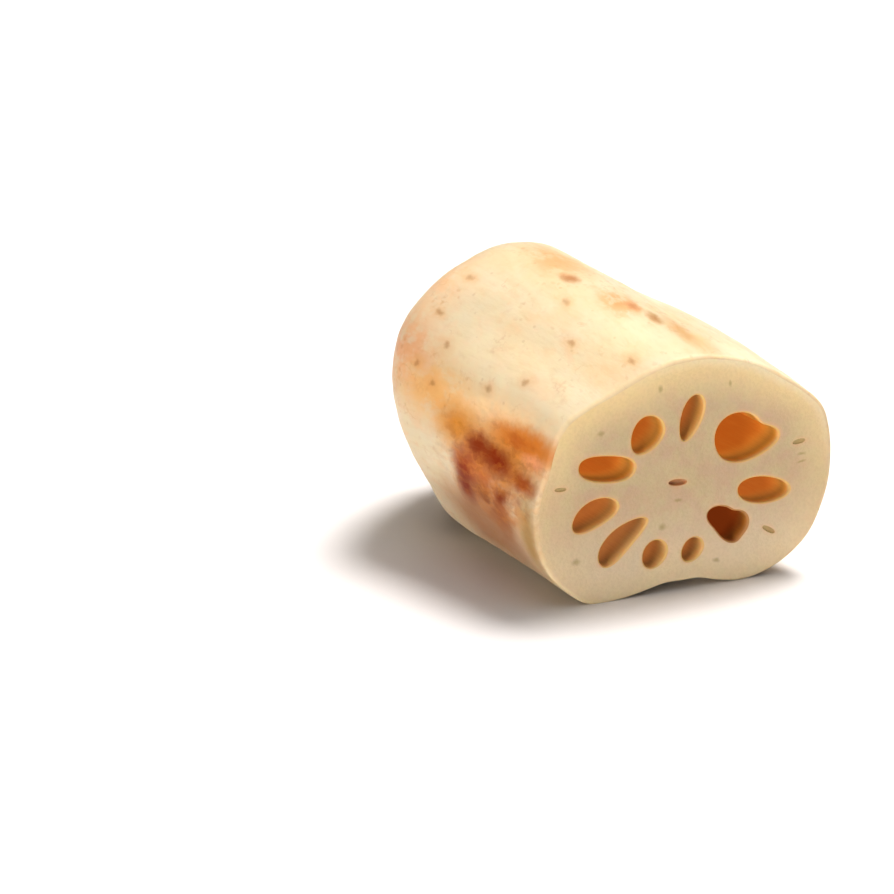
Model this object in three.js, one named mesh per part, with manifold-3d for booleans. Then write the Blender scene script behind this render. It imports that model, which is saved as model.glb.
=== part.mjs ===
// Lotus root segment: one joint of a lotus rhizome, lying on its side. The near end is cut across and
// shows the ring of air canals. The far end keeps its round shoulder and the scar of the trimmed node.
// Millimetres, +Z up. The root runs along +Y, its cut end faces -Y, and it lies on the plane Z = 0.
import * as THREE from "three";
import { mergeVertices } from "three/addons/utils/BufferGeometryUtils.js";
import Module from "manifold-3d";

const wasm = await Module();
wasm.setup();

const { degToRad, lerp, smoothstep } = THREE.MathUtils;

// Driving dimensions of the root.
const rootLength = 85; // along Y, from the middle of the cut to the node scar
const cutTurn = 9.5; // degrees that the cut is turned about the vertical
const cutCentreZ = 26.8; // height of the middle of the cut
const canalCentreZ = 27.2; // height of the middle of the ring of canals
const cutRimRound = 0.7; // size of the rounding where the skin meets the cut
const bellyCentreZ = 31;
const bellyStart = 46; // how far behind the cut the section has become the full belly
const shoulderStart = 47; // where the root starts to round off towards the node
const scarRadius = 13;
const scarCentreX = 1;
const scarCentreZ = 32;
const scarDish = 1.2; // depth of the hollow in the node scar
const neckLength = 4; // the hollow between the shoulder and the node scar

// Distance of the skin from the middle of the section, every 10 degrees from +X towards +Z at the cut
// and every 15 degrees at the belly.
const cutRadii = [
  36.4, 36.4, 36.1, 34.0, 32.0, 30.8, 30.0, 29.2, 28.8, 28.4, 28.2, 28.1,
  28.2, 29.2, 31.3, 33.7, 34.1, 34.0, 35.4, 36.4, 37.0, 37.0, 36.2, 35.0,
  31.0, 27.5, 25.1, 24.7, 25.1, 27.8, 31.0, 33.3, 35.1, 36.3, 36.4, 36.5,
];
const bellyRadii = [
  34.0, 35.0, 33.3, 30.3, 29.2, 30.8, 34.0, 36.0, 36.8, 36.8, 36.8, 36.6,
  37.0, 37.0, 36.9, 38.2, 36.2, 32.4, 31.2, 32.4, 35.8, 35.4, 34.9, 34.4,
];

// Unevenness of the skin: bearing and distance behind the cut of each swelling, how far it stands out
// (a hollow has a negative rise), and how far it spreads in degrees and in millimetres.
const swellings = [
  { name: "right_ridge", at: 40, y: 26, rise: 0.9, spread: 22, reach: 18 },
  { name: "crown", at: 105, y: 64, rise: 1.8, spread: 41, reach: 13 },
  { name: "flank_hollow", at: 172, y: 20, rise: -1.5, spread: 11, reach: 18 },
  { name: "far_left", at: 156, y: 68, rise: 6.3, spread: 32, reach: 17 },
  { name: "right_waist", at: 355, y: 48, rise: -0.9, spread: 24, reach: 20 },
];

// Air canals: the distance and bearing of each one's middle from the middle of their ring, its long and
// short width, the bearing of the long width, how much fatter the end on that bearing is, the bow of the
// shape, how far three corners stand out with the bearing of one of them, how square it is, and how deep
// the hollow in its outline is with its bearing and spread.
const canals = [
  { name: "upper_left", out: 14.8, at: 130, long: 9.0, wide: 7.0, turn: 57, egg: 0.2 },
  { name: "top", out: 14.0, at: 85, long: 10.7, wide: 4.8, turn: 72, egg: 0.2 },
  {
    name: "upper_right",
    out: 16.7,
    at: 26.4,
    long: 15.7,
    wide: 11.2,
    turn: 175,
    egg: 0.23,
    bow: 0.17,
    corner: 0.03,
    cornerAt: 17,
    dent: 0.26,
    dentAt: 47,
    dentSpread: 26,
  },
  { name: "right", out: 20.3, at: 343, long: 12.8, wide: 6.1, turn: 171, corner: 0.03, cornerAt: 356 },
  {
    name: "lower_right",
    out: 16.8,
    at: 311,
    long: 10.6,
    wide: 7.4,
    turn: 138,
    egg: 0.06,
    bow: 0.48,
    corner: 0.11,
    cornerAt: 19,
    dent: 0.27,
    dentAt: 58,
    dentSpread: 27,
  },
  { name: "bottom_right", out: 17.9, at: 277, long: 5.8, wide: 4.5, turn: 57, egg: 0.1 },
  { name: "bottom", out: 18.8, at: 248, long: 6.6, wide: 5.4, turn: 63, egg: 0.1 },
  { name: "lower_left", out: 19.7, at: 221, long: 14.1, wide: 5.5, turn: 41, egg: -0.26, bow: -0.5, square: 0.02 },
  { name: "left_low", out: 22.4, at: 195, long: 11.4, wide: 6.1, turn: 24, bow: -0.4 },
  { name: "left_high", out: 19.5, at: 165.5, long: 13.4, wide: 5.9, turn: 171, bow: -0.14, square: 0.06 },
];

// Short slits of the small vessels, described in the same way.
const slits = [
  { name: "middle", out: 2.1, at: 205, long: 4.8, wide: 1.5, turn: 177 },
  { name: "far_left", out: 30.0, at: 177, long: 2.8, wide: 1.0, turn: 177 },
  { name: "far_right", out: 28.3, at: 9, long: 2.9, wide: 1.1, turn: 6 },
  { name: "lower_right", out: 26.4, at: 323, long: 3.6, wide: 1.1, turn: 147 },
];

const aroundBody = 90;
const aroundCanal = 24;
const canalDepth = 66; // below the middle of the cut
const slitDepth = 6;
const scarPits = 7; // closed ends of the canals that show in the node scar
const scarPitRing = 7;
const cutterLead = 12; // the cutters start this far in front of the cut

// Smooth reading of a closed list of radii at any bearing.
function readRadii(radii, bearing) {
  const turn = 2 * Math.PI;
  const place = ((((bearing % turn) + turn) % turn) / turn) * radii.length;
  const i = Math.floor(place);
  const t = place - i;
  const [a, b, c, d] = [-1, 0, 1, 2].map((k) => radii[(i + k + radii.length) % radii.length]);
  return b + 0.5 * t * (c - a + t * (2 * a - 5 * b + 4 * c - d + t * (3 * (b - c) + d - a)));
}

// Share of the way from the section at the cut to the section at the belly.
function swellAt(y) {
  return Math.sin((Math.PI / 2) * Math.min(Math.max(y / bellyStart, 0), 1));
}

// Shortest turn from one bearing to another.
function turnBetween(bearing, other) {
  return Math.atan2(Math.sin(bearing - other), Math.cos(bearing - other));
}

// How far the skin stands out of its section because of the swellings.
function unevenness(bearing, y) {
  return swellings.reduce((sum, { at, y: place, rise, spread, reach }) => {
    const fade = Math.hypot(turnBetween(bearing, degToRad(at)) / degToRad(spread), (y - place) / reach);
    return sum + rise * Math.exp(-fade * fade) * smoothstep(y, 0, 6);
  }, 0);
}

// Skin of the root: share is 1 on the skin and 0 on the middle line.
function rootPoint(bearing, y, share) {
  const swell = swellAt(y);
  const nodeward = smoothstep(y, shoulderStart, rootLength);
  const grown = lerp(readRadii(cutRadii, bearing), readRadii(bellyRadii, bearing), swell);
  const skin = lerp(grown, bellyCentreZ, smoothstep(y, rootLength - 28, rootLength - neckLength));
  const radius = share * (skin + unevenness(bearing, y));
  const x = scarCentreX * nodeward + radius * Math.cos(bearing);
  const middleZ = lerp(lerp(cutCentreZ, bellyCentreZ, swell), scarCentreZ, nodeward);
  const z = Math.max(0, middleZ + radius * Math.sin(bearing));
  const turned = -Math.tan(degToRad(cutTurn)) * x * (1 - smoothstep(y, 0, bellyStart));
  return new THREE.Vector3(x, y + turned, z);
}

// Bends a lathe of unit radius about Y: place(bearing, y, share) gives each vertex its point.
function bendLathe(profile, segments, place) {
  const geometry = new THREE.LatheGeometry(profile, segments);
  const position = geometry.getAttribute("position");
  for (let i = 0; i < position.count; i++) {
    const [x, y, z] = [position.getX(i), position.getY(i), position.getZ(i)];
    const point = place(Math.atan2(z, x), y, Math.hypot(x, z));
    position.setXYZ(i, point.x, point.y, point.z);
  }
  return geometry;
}

// Outside of the root, from the middle of the cut round to the middle of the node scar.
function rootGeometry() {
  const profile = [new THREE.Vector2(0, 0)];
  profile.push(new THREE.Vector2(0.98, 0));
  const straightSteps = 14;
  for (let i = 0; i <= straightSteps; i++) {
    profile.push(new THREE.Vector2(1, lerp(cutRimRound, shoulderStart, i / straightSteps)));
  }
  const scarShare = scarRadius / bellyCentreZ;
  const shoulderSteps = 12;
  for (let i = 1; i <= shoulderSteps; i++) {
    const angle = degToRad((90 * i) / shoulderSteps);
    const y = lerp(shoulderStart, rootLength - neckLength, Math.sin(angle));
    profile.push(new THREE.Vector2(lerp(scarShare * 1.35, 1, Math.cos(angle)), y));
  }
  profile.push(new THREE.Vector2(scarShare * 1.1, rootLength - neckLength * 0.75));
  profile.push(new THREE.Vector2(scarShare * 1.01, rootLength - neckLength * 0.4));
  profile.push(new THREE.Vector2(scarShare * 1.03, rootLength - 0.3));
  profile.push(new THREE.Vector2(scarShare * 0.99, rootLength));
  profile.push(new THREE.Vector2(scarShare * 0.86, rootLength - scarDish / 2));
  profile.push(new THREE.Vector2(scarShare * 0.6, rootLength - scarDish));
  profile.push(new THREE.Vector2(0, rootLength - scarDish));
  return bendLathe(profile, aroundBody, rootPoint);
}

// Cutter for one canal, from in front of the cut to its rounded blind end.
function canalGeometry(canal, depth) {
  const { out, at, long, wide, turn, egg = 0, bow = 0, corner = 0, cornerAt = 0, square = 0 } = canal;
  const { dent = 0, dentAt = 0, dentSpread = 30 } = canal;
  const middle = new THREE.Vector2(out, 0).rotateAround(new THREE.Vector2(), degToRad(at));
  const profile = [new THREE.Vector2(0, -cutterLead), new THREE.Vector2(1, -cutterLead)];
  const steps = Math.ceil(depth / 20);
  const straight = depth - wide / 2;
  for (let i = 1; i <= steps; i++) profile.push(new THREE.Vector2(1, (straight * i) / steps));
  profile.push(new THREE.Vector2(0.7, depth - wide / 7), new THREE.Vector2(0, depth));
  return bendLathe(profile, aroundCanal, (bearing, y, share) => {
    const hollow = turnBetween(bearing + degToRad(turn), degToRad(dentAt)) / degToRad(dentSpread);
    const corners = corner * Math.cos(3 * (bearing + degToRad(turn - cornerAt)));
    const sides = (square * (1 - Math.cos(4 * bearing))) / 2;
    const stretch = 1 + corners + sides - dent * Math.exp(-hollow * hollow);
    const u = (stretch * long * Math.cos(bearing)) / 2;
    const v = (stretch * wide * Math.sin(bearing) * (1 + egg * Math.cos(bearing))) / 2;
    const bent = new THREE.Vector2(u, v + bow * Math.cos(2 * bearing)).multiplyScalar(share);
    bent.rotateAround(new THREE.Vector2(), degToRad(turn)).add(middle);
    return new THREE.Vector3(bent.x, y, bent.y + canalCentreZ);
  });
}

// Cutter for one small pit in the node scar.
function scarPitGeometry(i) {
  const angle = (2 * Math.PI * (i + 0.3 * Math.sin(5 * i))) / scarPits;
  const wide = 1.6 + 0.5 * Math.sin(3 * i);
  const x = scarCentreX + scarPitRing * Math.cos(angle);
  const z = scarCentreZ + scarPitRing * Math.sin(angle);
  return new THREE.CapsuleGeometry(wide / 2, 3, 4, 10).translate(x, rootLength - scarDish, z);
}

// Closed solid of a geometry whose double vertices are merged first.
function solidFrom(geometry) {
  geometry.deleteAttribute("normal");
  geometry.deleteAttribute("uv");
  const welded = mergeVertices(geometry, 1e-5);
  return new wasm.Manifold(
    new wasm.Mesh({
      numProp: 3,
      vertProperties: welded.getAttribute("position").array,
      triVerts: new Uint32Array(welded.index.array),
    }),
  );
}

function geometryFrom(solid) {
  const mesh = solid.getMesh();
  return new THREE.BufferGeometry()
    .setAttribute("position", new THREE.BufferAttribute(mesh.vertProperties, mesh.numProp))
    .setIndex(new THREE.BufferAttribute(mesh.triVerts, 1));
}

let root = solidFrom(rootGeometry());
for (const canal of canals) root = root.subtract(solidFrom(canalGeometry(canal, canalDepth)));
for (const slit of slits) root = root.subtract(solidFrom(canalGeometry(slit, slitDepth)));
for (let i = 0; i < scarPits; i++) root = root.subtract(solidFrom(scarPitGeometry(i)));
const geometry = geometryFrom(root);
geometry.computeVertexNormals();
geometry.computeBoundingBox();
const { min, max } = geometry.boundingBox;

const flesh = new THREE.MeshStandardMaterial({ color: 0xe8cf9f, roughness: 0.5, metalness: 0 });
const segment = new THREE.Mesh(geometry, flesh);
segment.name = "lotus_root_segment";
segment.position.set(-(min.x + max.x) / 2, -(min.y + max.y) / 2, -min.z);

const part = new THREE.Group();
part.add(segment);

export default part;
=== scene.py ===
# Dresses the lotus root segment: one fine root with its skin, cut face, air canals and node scar.
import math

import bmesh
import bpy
from mathutils import Matrix, Vector, noise


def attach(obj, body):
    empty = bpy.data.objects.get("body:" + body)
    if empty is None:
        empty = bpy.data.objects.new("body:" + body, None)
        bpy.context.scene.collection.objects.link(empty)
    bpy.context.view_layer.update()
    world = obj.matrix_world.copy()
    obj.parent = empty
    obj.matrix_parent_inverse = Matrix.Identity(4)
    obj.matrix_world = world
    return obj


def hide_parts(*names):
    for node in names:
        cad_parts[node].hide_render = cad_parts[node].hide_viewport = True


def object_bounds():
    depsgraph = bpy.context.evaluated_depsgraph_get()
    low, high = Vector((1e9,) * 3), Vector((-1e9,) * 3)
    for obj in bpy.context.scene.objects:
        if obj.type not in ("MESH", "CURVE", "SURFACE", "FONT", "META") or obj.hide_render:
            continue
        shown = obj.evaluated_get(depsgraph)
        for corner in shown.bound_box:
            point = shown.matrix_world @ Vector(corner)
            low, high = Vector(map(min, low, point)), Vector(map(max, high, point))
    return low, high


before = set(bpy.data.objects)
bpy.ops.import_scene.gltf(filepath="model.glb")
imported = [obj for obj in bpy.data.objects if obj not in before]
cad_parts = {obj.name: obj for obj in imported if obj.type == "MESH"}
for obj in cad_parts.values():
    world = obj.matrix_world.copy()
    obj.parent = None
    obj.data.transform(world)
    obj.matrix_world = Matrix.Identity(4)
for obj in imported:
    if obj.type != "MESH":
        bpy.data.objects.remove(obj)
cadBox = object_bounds()
mm = 0.001  # the dictionaries below are in millimetres and degrees
fullTurn = 2 * math.pi
print("frame: box", [round(side / mm, 1) for side in cadBox[1] - cadBox[0]], "mm")

# Shape of the whole root, in its own frame: the cut faces -Y, the middle of the cut is at Y = 0.
root = {
    "length": 85,  # from the middle of the cut to the node scar
    "cutTurn": 9.5,  # turn of the cut about the vertical
    "cutCentreZ": 26.8,
    "bellyCentreZ": 31,
    "bellyStart": 46,  # from here back the section is the full belly
    "roundingLength": 28,  # over this length before the neck the section turns round
    "roundRadius": 31,  # the radius it turns round to, which the shoulder then draws in
    "shoulderStart": 47,  # from here back it rounds off towards the node
    "neckLength": 4,
    "neckFlare": 1.35,  # the neck's radius where the shoulder ends, as a share of the scar's
    "swellingFade": 6,  # over this length from the cut the swellings come in
    "reliefFade": 4,  # and over this one the fine unevenness
    "reliefOut": (0.3, 0.5),  # which goes again towards the node, between these shares of the radius
    "rimRound": 0.8,
    "scarRadius": 13,
    "scarCentreX": 1,
    "scarCentreZ": 32,
    "scarDish": 1.2,
    "sideShift": 1.177,  # from the root's own frame to the frame's, along X
    "around": 256,
    "ringStep": 1.0,  # between the rings of the skin
}
neckStart = root["length"] - root["neckLength"]
scarShare = root["scarRadius"] / root["roundRadius"]  # the scar's radius as a share of the section's
scarY = root["length"] - root["scarDish"]
# Distance of the skin from the middle of the section, in even steps from +X towards +Z.
cutRadii = [
    36.4, 36.4, 36.1, 34.0, 32.0, 30.8, 30.0, 29.2, 28.8, 28.4, 28.2, 28.1,
    28.2, 29.2, 31.3, 33.7, 34.1, 34.0, 35.4, 36.4, 37.0, 37.0, 36.2, 35.0,
    31.0, 27.5, 25.1, 24.7, 25.1, 27.8, 31.0, 33.3, 35.1, 36.3, 36.4, 36.5,
]
bellyRadii = [
    34.0, 35.0, 33.3, 30.3, 29.2, 30.8, 34.0, 36.0, 36.8, 36.8, 36.8, 36.6,
    37.0, 37.0, 36.9, 38.2, 36.2, 32.4, 31.2, 32.4, 35.8, 35.4, 34.9, 34.4,
]
# Swellings and hollows: the bearing and Y of the middle, the height, and how far it spreads in degrees
# and along the root.
swellings = {
    "rightRidge": {"at": 40, "y": 26, "rise": 0.9, "spread": 22, "reach": 18},
    "crown": {"at": 105, "y": 64, "rise": 1.8, "spread": 41, "reach": 13},
    "flankHollow": {"at": 172, "y": 20, "rise": -1.5, "spread": 11, "reach": 18},
    "farLeft": {"at": 156, "y": 68, "rise": 6.3, "spread": 32, "reach": 17},
    "rightWaist": {"at": 355, "y": 48, "rise": -0.9, "spread": 24, "reach": 20},
}


def mix(low, high, share):
    return low + (high - low) * share


def smoothStep(value, low, high):
    share = min(max((value - low) / (high - low), 0), 1)
    return share * share * (3 - 2 * share)


def readRadii(radii, bearing):  # on a smooth curve through the listed ones
    place = bearing / fullTurn % 1 * len(radii)
    first = int(place)
    t = place - first
    a, b, c, d = (radii[(first + step) % len(radii)] for step in (-1, 0, 1, 2))
    return b + 0.5 * t * (c - a + t * (2 * a - 5 * b + 4 * c - d + t * (3 * (b - c) + d - a)))


def cutPlaneY(x):
    return -math.tan(math.radians(root["cutTurn"])) * x


def swellAt(y):
    return math.sin(math.pi / 2 * min(max(y / root["bellyStart"], 0), 1))


def swellingRise(bearing, y):
    rise = 0
    for swelling in swellings.values():
        turn = math.remainder(bearing - math.radians(swelling["at"]), fullTurn)
        away = math.hypot(turn / math.radians(swelling["spread"]), (y - swelling["y"]) / swelling["reach"])
        rise += swelling["rise"] * math.exp(-away * away) * smoothStep(y, 0, root["swellingFade"])
    return rise


def skinRadius(bearing, y):
    grown = mix(readRadii(cutRadii, bearing), readRadii(bellyRadii, bearing), swellAt(y))
    roundness = smoothStep(y, root["length"] - root["roundingLength"], neckStart)
    return mix(grown, root["roundRadius"], roundness) + swellingRise(bearing, y)


def sectionMiddle(y):
    nodeward = smoothStep(y, root["shoulderStart"], root["length"])
    middleZ = mix(root["cutCentreZ"], root["bellyCentreZ"], swellAt(y))
    return root["scarCentreX"] * nodeward, mix(middleZ, root["scarCentreZ"], nodeward)


# Unevenness that is too fine for the solid: the height in mm, and the width of a bump across and along.
skinRelief = {
    "waves": {"height": 0.28, "across": 9, "along": 16, "seed": 0},
    "dents": {"height": 0.1, "across": 3.2, "along": 5, "seed": 37},
    "fibres": {"height": 0.035, "across": 1.1, "along": 9, "seed": 71},
}
# Trimmed rootlets in a ring round the node.
stubs = {
    "count": 17,
    "out": 19.9,
    "radius": 1.2,
    "height": 0.6,
    "outward": 0.4,  # shares of the height: they lean more backwards than outwards
    "backward": 0.9,
    "unevenSpacing": 0.35,  # as a share of the spacing
    "unevenOut": 0.8,
    "unevenRadius": 0.3,
    "edge": (0.4, 1.1),  # a stub slopes down between these shares of its radius
}


def reliefNoise(point, layer):
    across, along = layer["across"], layer["along"]
    scaled = Vector((point.x / across + layer["seed"], point.y / along, point.z / across))
    return layer["height"] * noise.noise(scaled)


def skinRise(point):
    rise = sum(reliefNoise(point, layer) for layer in skinRelief.values())
    return rise * smoothStep(point.y, 0, root["reliefFade"])


def stubShare(bearing, y, radius):  # 1 on top of a stub, 0 away from them all
    highest = 0
    if y > root["shoulderStart"] + 20 and radius > root["scarRadius"]:
        for i in range(stubs["count"]):
            at = fullTurn * (i + stubs["unevenSpacing"] * math.sin(7 * i)) / stubs["count"]
            across = stubs["out"] * math.remainder(bearing - at, fullTurn)
            wide = stubs["radius"] * (0.85 + stubs["unevenRadius"] * math.sin(11 * i))
            outwards = radius - stubs["out"] - stubs["unevenOut"] * math.sin(4 * i)
            away = math.hypot(across, outwards) / wide
            highest = max(highest, 1 - smoothStep(away, *stubs["edge"]))
    return highest


# Face of the node scar: a shallow hollow with rays and the closed ends of the canals.
scarFace = {
    "pits": 7,
    "pitRing": 7,
    "pitRadius": 1.6,
    "unevenRadius": 0.5,
    "unevenSpacing": 0.3,
    "pitDepth": 1.7,
    "pitEdge": (0.35, 0.7),
    "rays": 34,
    "rayDepth": 0.12,
    "rayStart": (2, 6),
    "roughness": 0.16,
    "grain": 1.3,
    "rings": 34,
    "ringsOut": 0.6,  # the rings fill the scar to this share of its radius, and the neck's profile the rest
    "sinkOut": 0.95,  # the rays and pits go out to here, and the scar's colour to the next
    "colourOut": 0.97,
}


def scarSink(bearing, share):
    radius = share * root["roundRadius"]
    x, z = radius * math.cos(bearing), radius * math.sin(bearing)
    sink = scarFace["roughness"] * noise.noise(Vector((x, z, 3)) / scarFace["grain"])
    ray = math.sin(scarFace["rays"] * bearing + 2 * math.sin(3 * bearing))
    sink += scarFace["rayDepth"] * ray * smoothStep(radius, *scarFace["rayStart"])
    for i in range(scarFace["pits"]):
        angle = fullTurn * (i + scarFace["unevenSpacing"] * math.sin(5 * i)) / scarFace["pits"]
        wide = scarFace["pitRadius"] + scarFace["unevenRadius"] * math.sin(3 * i)
        pitX, pitZ = scarFace["pitRing"] * math.cos(angle), scarFace["pitRing"] * math.sin(angle)
        away = math.hypot(x - pitX, z - pitZ)
        sink += scarFace["pitDepth"] * (1 - smoothStep(away / wide, *scarFace["pitEdge"]))
    return sink


def skinPoint(bearing, y, share):
    middleX, middleZ = sectionMiddle(y)
    radius = share * skinRadius(bearing, y)
    point = Vector((radius * math.cos(bearing), y, radius * math.sin(bearing)))
    if y > scarY - 0.01 and share < scarShare * scarFace["sinkOut"]:
        y -= scarSink(bearing, share)
    else:
        stub = stubs["height"] * stubShare(bearing, y, radius)
        radius += (skinRise(point) + stubs["outward"] * stub) * smoothStep(share, *root["reliefOut"])
        y += stubs["backward"] * stub
    x = middleX + radius * math.cos(bearing)
    z = max(0, middleZ + radius * math.sin(bearing))
    return Vector((x, y + cutPlaneY(x) * (1 - smoothStep(y, 0, root["bellyStart"])), z))


def skinProfile():  # share of the section's radius and Y, from the cut's rim to the middle of the scar
    profile = []
    rimSteps = 5
    for i in range(rimSteps):
        angle = math.pi / 2 * i / rimSteps
        share = 1 - root["rimRound"] * (1 - math.sin(angle)) / root["roundRadius"]
        profile.append((share, root["rimRound"] * (1 - math.cos(angle))))
    steps = round((root["shoulderStart"] - root["rimRound"]) / root["ringStep"])
    for i in range(steps + 1):
        profile.append((1, mix(root["rimRound"], root["shoulderStart"], i / steps)))
    shoulderSteps = 48
    for i in range(1, shoulderSteps + 1):
        angle = math.pi / 2 * i / shoulderSteps
        share = mix(scarShare * root["neckFlare"], 1, math.cos(angle))
        profile.append((share, mix(root["shoulderStart"], neckStart, math.sin(angle))))
    # The neck and the rim of the scar, as shares of the scar's radius and mm before the root's end.
    neck = [(1.2, 3.55), (1.1, 3.0), (1.04, 2.3), (1.01, 1.6), (1.015, 0.9), (1.03, 0.35), (1.02, 0.1)]
    neck += [(0.99, 0), (0.95, 0.12), (0.9, 0.38), (0.86, 0.6), (0.8, 0.8), (0.72, 1.02), (0.66, 1.14)]
    profile += [(scarShare * share, root["length"] - before) for share, before in neck]
    for i in range(scarFace["rings"] + 1):
        profile.append((scarFace["ringsOut"] * scarShare * (1 - i / scarFace["rings"]), scarY))
    return profile


skinSlot, fleshSlot, wallSlot, scarSlot = range(4)  # the order of the materials on the root

# Air canals and small slits. Each one's middle is given as a distance and a bearing from the middle of their
# ring, then its long and short width and the bearing of the long width. egg makes the end on that bearing
# fatter, bow bends the shape, corner makes three corners, square fills it out towards a rectangle, dent is a
# hollow in the outline. warm goes from pale brown walls at 0 to orange ones at 1 and red-brown ones at 2,
# and below that to the slits' olive at -1 and umber at -2. slantDepth is how far in the cut's slant goes on.
canalRing = {
    "centreZ": 27.2,
    "depth": 66,
    "slantDepth": 66,
    "lip": 0.4,
    "around": 72,
    "waviness": 0.22,
    "steps": 22,
}
canals = [
    {"at": 130, "out": 14.8, "long": 9.0, "wide": 7.0, "turn": 57, "egg": 0.2, "warm": 0.9},
    {"at": 85, "out": 14.0, "long": 10.7, "wide": 4.8, "turn": 72, "egg": 0.2, "warm": 0.6},
    {"at": 26.4, "out": 16.7, "long": 15.7, "wide": 11.2, "turn": 175, "egg": 0.23, "bow": 0.17,
     "corner": 0.03, "cornerAt": 17, "dent": 0.26, "dentAt": 47, "dentSpread": 26, "warm": 1.0},
    {"at": 343, "out": 20.3, "long": 12.8, "wide": 6.1, "turn": 171, "corner": 0.03, "cornerAt": 356,
     "warm": 0.85},
    {"at": 311, "out": 16.8, "long": 10.6, "wide": 7.4, "turn": 138, "egg": 0.06, "bow": 0.48,
     "corner": 0.11, "cornerAt": 19, "dent": 0.27, "dentAt": 58, "dentSpread": 27, "warm": 2.0},
    {"at": 277, "out": 17.9, "long": 5.8, "wide": 4.5, "turn": 57, "egg": 0.1, "warm": 0.3},
    {"at": 248, "out": 18.8, "long": 6.6, "wide": 5.4, "turn": 63, "egg": 0.1, "warm": 0.3},
    {"at": 221, "out": 19.7, "long": 14.1, "wide": 5.5, "turn": 41, "egg": -0.26, "bow": -0.5,
     "square": 0.02, "warm": 0.2},
    {"at": 195, "out": 22.4, "long": 11.4, "wide": 6.1, "turn": 24, "bow": -0.4, "warm": 0.5},
    {"at": 165.5, "out": 19.5, "long": 13.4, "wide": 5.9, "turn": 171, "bow": -0.14, "square": 0.06,
     "warm": 0.95},
]
slitShape = {"slantDepth": 6, "lip": 0.2, "around": 32, "waviness": 0.05, "steps": 4}
slits = [
    {"at": 209, "out": 2.0, "long": 4.2, "wide": 1.3, "turn": 175, "depth": 0.9, "warm": -2},
    {"at": 177, "out": 30.0, "long": 2.4, "wide": 0.6, "turn": 177, "depth": 0.18, "warm": -1},
    {"at": 9, "out": 28.3, "long": 2.8, "wide": 0.8, "turn": 6, "depth": 0.18, "warm": -1},
    {"at": 323, "out": 26.4, "long": 3.3, "wide": 0.85, "turn": 147, "depth": 0.18, "warm": -1},
]
openings = canals + slits
wallWaves = {"across": 3, "along": 14, "start": 0.5, "full": 6}  # they come in between these two depths


def canalMiddle(canal):
    at = math.radians(canal["at"])
    return canal["out"] * math.cos(at), canalRing["centreZ"] + canal["out"] * math.sin(at)


def canalOutline(canal, bearing):
    turn = math.radians(canal["turn"])
    facing = bearing + turn
    stretch = 1 + canal.get("corner", 0) * math.cos(3 * (facing - math.radians(canal.get("cornerAt", 0))))
    stretch += canal.get("square", 0) * (1 - math.cos(4 * bearing)) / 2
    if "dent" in canal:
        away = math.degrees(math.remainder(facing - math.radians(canal["dentAt"]), fullTurn))
        stretch -= canal["dent"] * math.exp(-((away / canal["dentSpread"]) ** 2))
    u = stretch * canal["long"] / 2 * math.cos(bearing)
    v = stretch * canal["wide"] / 2 * math.sin(bearing) * (1 + canal.get("egg", 0) * math.cos(bearing))
    v += canal.get("bow", 0) * math.cos(2 * bearing)
    return Vector((u * math.cos(turn) - v * math.sin(turn), u * math.sin(turn) + v * math.cos(turn)))


def canalPlacer(canal, shape):
    middleX, middleZ = canalMiddle(canal)
    nearby = 0.02  # a small turn, to find which way the outline runs

    def place(bearing, depth, share):
        flat = canalOutline(canal, bearing) * min(share, 1)
        along = canalOutline(canal, bearing + nearby) - canalOutline(canal, bearing - nearby)
        outward = Vector((along.y, -along.x)).normalized()
        across = wallWaves["across"]
        scaled = Vector((flat.x / across + canal["at"], flat.y / across, depth / wallWaves["along"]))
        waviness = shape["waviness"] * noise.noise(scaled)
        waviness *= smoothStep(depth, wallWaves["start"], wallWaves["full"])
        flat += outward * (shape["lip"] * max(share - 1, 0) + waviness * share)
        x, z = middleX + flat.x, middleZ + flat.y
        slant = cutPlaneY(x) * (1 - smoothStep(depth, 0, shape["slantDepth"]))
        return Vector((x, slant + depth, z))

    return place


def canalProfile(canal, shape):  # share of the outline and depth, from the mouth to the blind end
    profile = []
    lipSteps = 5
    for i in range(lipSteps):
        angle = math.pi / 2 * i / lipSteps
        profile.append((2 - math.sin(angle), shape["lip"] * (1 - math.cos(angle))))
    depth = canal.get("depth", canalRing["depth"])
    end = max(depth - canal["wide"] / 2, depth * 0.6)  # where the blind end starts to round off
    for i in range(shape["steps"] + 1):
        profile.append((1, mix(shape["lip"], end, (i / shape["steps"]) ** 1.5)))  # finer near the mouth
    for angle in (25, 50, 70):
        turn = math.radians(angle)
        profile.append((math.cos(turn), mix(end, depth, math.sin(turn))))
    profile.append((0, depth))
    return profile


def skinOrScar(centre):  # of a face before it is bent, so that the scar's edge follows one ring
    share = math.hypot(centre.x, centre.z) / scarShare
    return scarSlot if centre.y > scarY - 1 and share < scarFace["colourOut"] else skinSlot


def bendLathe(bm, profile, segments, place, material):  # place gives each turned point its own spot
    lathe = bmesh.new()
    chain = [lathe.verts.new((share, y, 0)) for share, y in profile]
    chain += [lathe.edges.new(pair) for pair in zip(chain, chain[1:])]
    bmesh.ops.spin(lathe, geom=chain, cent=(0, 0, 0), axis=(0, 1, 0), angle=fullTurn, steps=segments,
                   use_merge=True)
    bmesh.ops.remove_doubles(lathe, verts=lathe.verts, dist=1e-5)
    for face in lathe.faces:
        isSkin = material == skinSlot
        face.material_index = skinOrScar(face.calc_center_median()) if isSkin else material
    for vert in lathe.verts:
        x, y, z = vert.co
        vert.co = place(math.atan2(z, x), y, math.hypot(x, z))
    copy = bpy.data.meshes.new("lathe")
    lathe.to_mesh(copy)
    lathe.free()
    bm.from_mesh(copy)
    bpy.data.meshes.remove(copy)


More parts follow.
